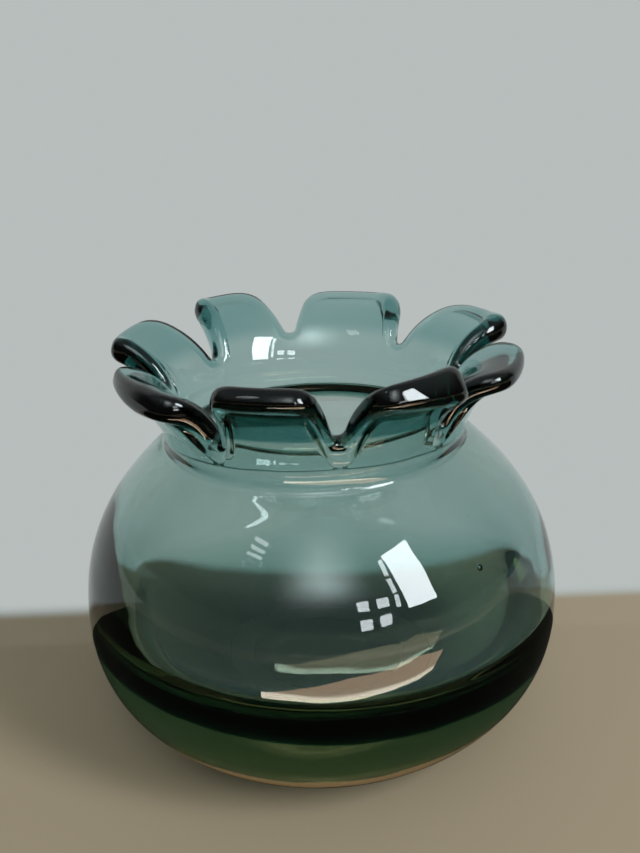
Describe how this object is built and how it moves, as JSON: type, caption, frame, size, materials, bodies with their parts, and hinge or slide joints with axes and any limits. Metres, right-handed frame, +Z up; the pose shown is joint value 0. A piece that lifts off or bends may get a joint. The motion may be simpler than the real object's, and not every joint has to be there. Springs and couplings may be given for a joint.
{
  "type": "rose bowl vase",
  "caption": "Squat blown glass rose bowl vase with a round bowl, a heavy base, a short neck and a flared lip cut into broad fire-polished petals.",
  "frame": {"origin": "centre of the flat that the vase rests on", "axes": "+Z up the axis of the bowl, -Y towards the viewer of the picture, +X to the viewer's right"},
  "size_m": [0.13, 0.13, 0.1187],
  "materials": {
    "casing_glass": "fire-polished soda glass with a pale olive green tint, rounded at the lip and ground underneath",
    "inner_glass": "clear dark teal soda glass"
  },
  "bodies": {
    "root": {"inner_gather": "inner_glass", "outer_casing": "casing_glass", "neck_collar": "casing_glass", "petal_front_left": "casing_glass", "petal_front_right": "casing_glass", "petal_right": "casing_glass", "petal_back_right": "casing_glass", "petal_back_centre": "casing_glass", "petal_back_left": "casing_glass", "petal_left_back": "casing_glass", "petal_left_front": "casing_glass"}
  },
  "joints": []
}
